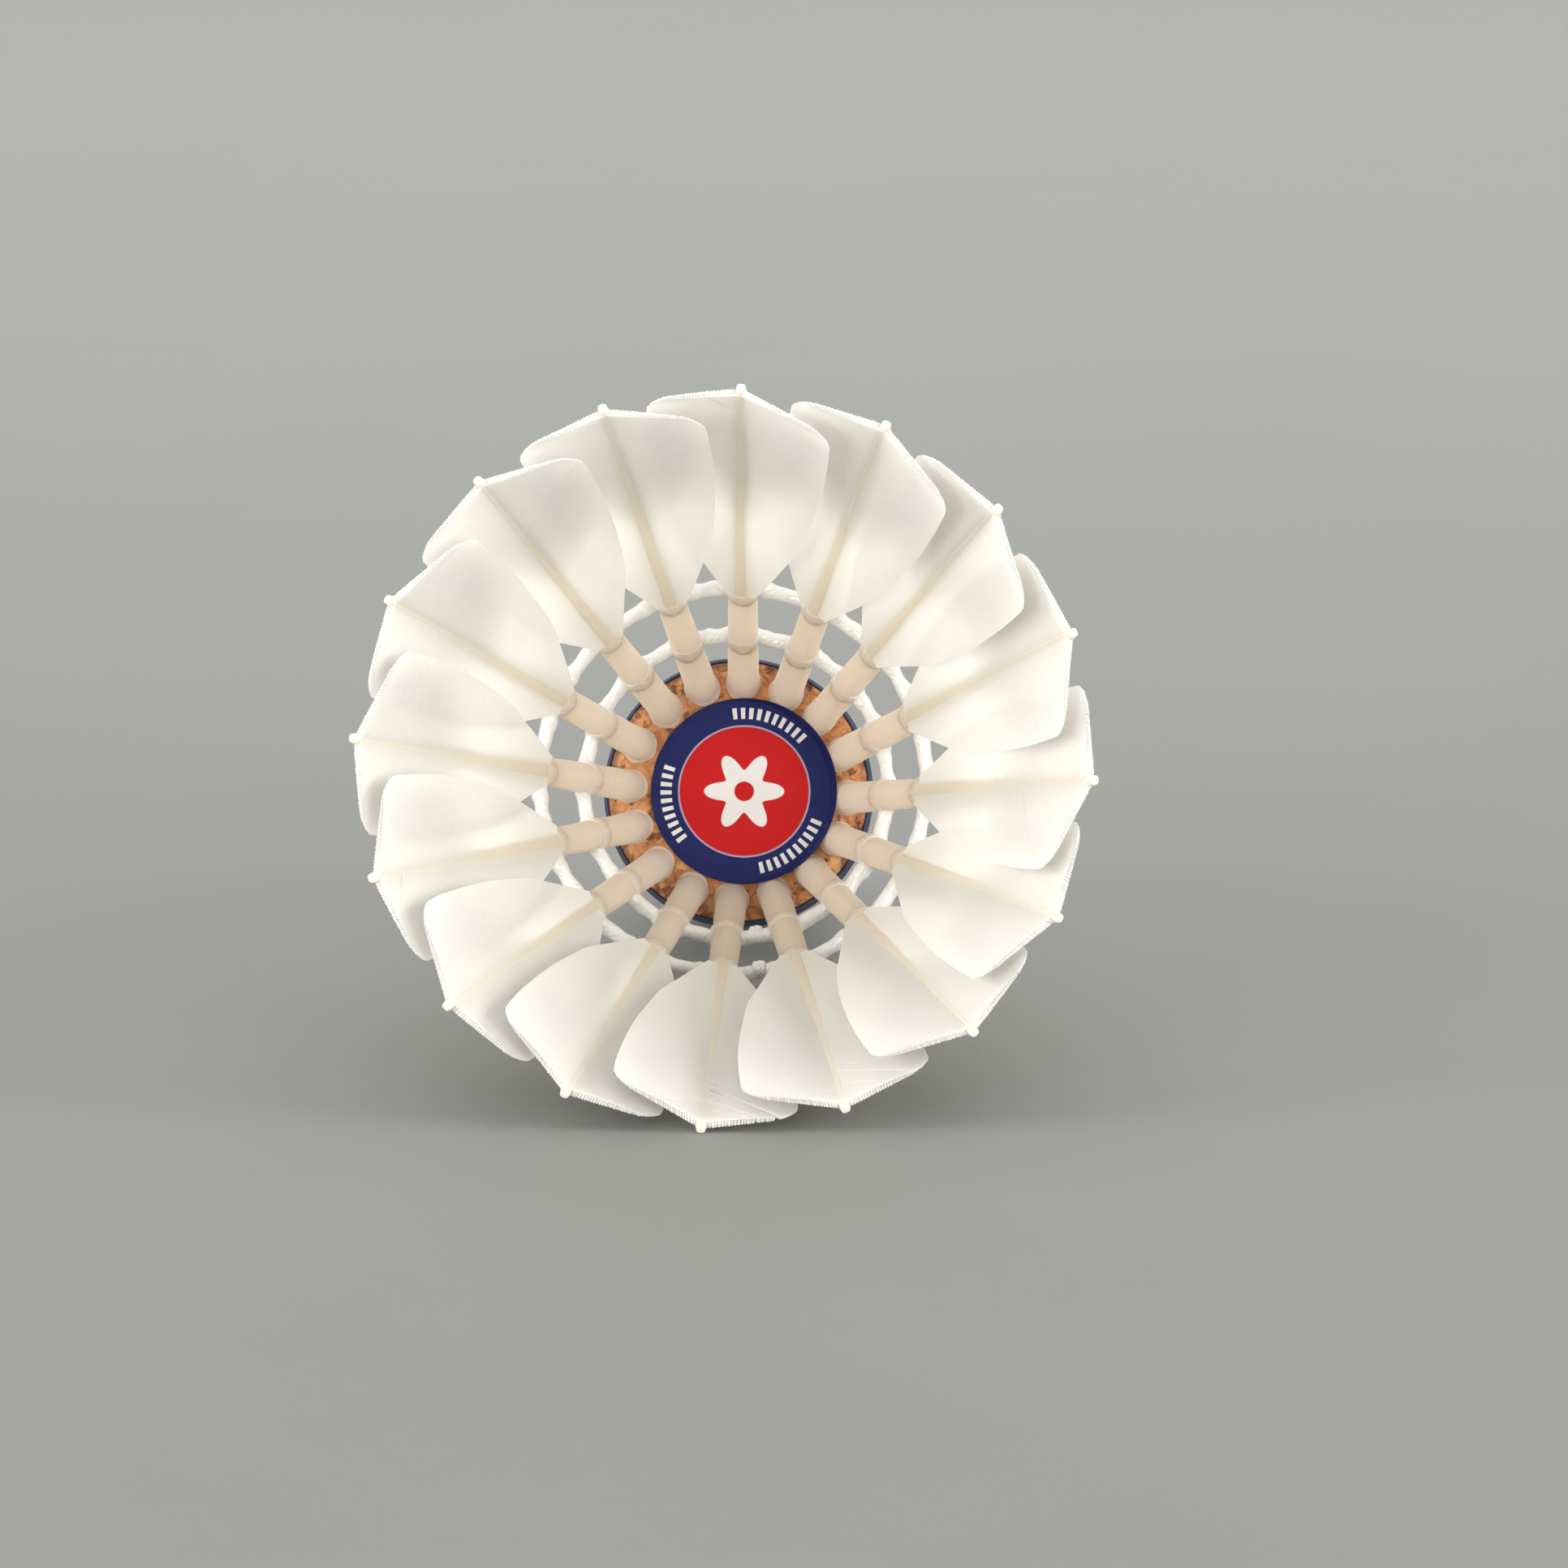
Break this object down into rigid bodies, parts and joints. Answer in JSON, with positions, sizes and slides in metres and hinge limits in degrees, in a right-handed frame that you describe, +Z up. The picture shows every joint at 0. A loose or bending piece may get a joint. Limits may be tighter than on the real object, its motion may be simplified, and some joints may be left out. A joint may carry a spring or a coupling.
{
  "type": "badminton shuttlecock",
  "caption": "Feather badminton shuttlecock: a rounded cork base with a flared skirt of overlapping goose feathers, glued in and laced together, lying on its side.",
  "frame": {"origin": "middle of the bounding box at table height, under the shuttlecock as it lies on its side on its nose and its lowest feather", "axes": "+Z up, -Y towards the open feather end, +Y towards the cork nose, +X to the right of someone looking into the open end"},
  "size_m": [0.0666, 0.0912, 0.0643],
  "materials": {
    "natural_cork": "sanded natural cork",
    "granulated_cork": "pressed cork granules with dark pits, cut flat",
    "cover_leather": "fine-grained white leather, satin",
    "ribbon": "woven dark blue ribbon, satin",
    "label_paper": "printed coated paper, blue ring round a red disc",
    "thread": "twisted cotton-polyester thread stiffened with clear glue",
    "glue": "clear hard glue, glossy",
    "feather_shaft": "natural keratin quill, cream, satin",
    "feather_vane": "white goose vane of interlocked barbs, translucent, soft sheen"
  },
  "bodies": {
    "root": {"cork_nose": "natural_cork", "cork_slice": "natural_cork", "cork_cap": "granulated_cork", "leather_cover": "cover_leather", "ribbon_band": "ribbon", "top_label": "label_paper", "socket_glue": "glue", "thread_ring_lower": "thread", "thread_ring_upper": "thread", "thread_knot_lower": "thread", "thread_knot_upper": "thread", "thread_glue_lower": "glue", "thread_glue_upper": "glue", "feather_shaft_01": "feather_shaft", "feather_shaft_02": "feather_shaft", "feather_shaft_03": "feather_shaft", "feather_shaft_04": "feather_shaft", "feather_shaft_05": "feather_shaft", "feather_shaft_06": "feather_shaft", "feather_shaft_07": "feather_shaft", "feather_shaft_08": "feather_shaft", "feather_shaft_09": "feather_shaft", "feather_shaft_10": "feather_shaft", "feather_shaft_11": "feather_shaft", "feather_shaft_12": "feather_shaft", "feather_shaft_13": "feather_shaft", "feather_shaft_14": "feather_shaft", "feather_shaft_15": "feather_shaft", "feather_shaft_16": "feather_shaft", "feather_vane_01": "feather_vane", "feather_vane_02": "feather_vane", "feather_vane_03": "feather_vane", "feather_vane_04": "feather_vane", "feather_vane_05": "feather_vane", "feather_vane_06": "feather_vane", "feather_vane_07": "feather_vane", "feather_vane_08": "feather_vane", "feather_vane_09": "feather_vane", "feather_vane_10": "feather_vane", "feather_vane_11": "feather_vane", "feather_vane_12": "feather_vane", "feather_vane_13": "feather_vane", "feather_vane_14": "feather_vane", "feather_vane_15": "feather_vane", "feather_vane_16": "feather_vane"}
  },
  "joints": []
}
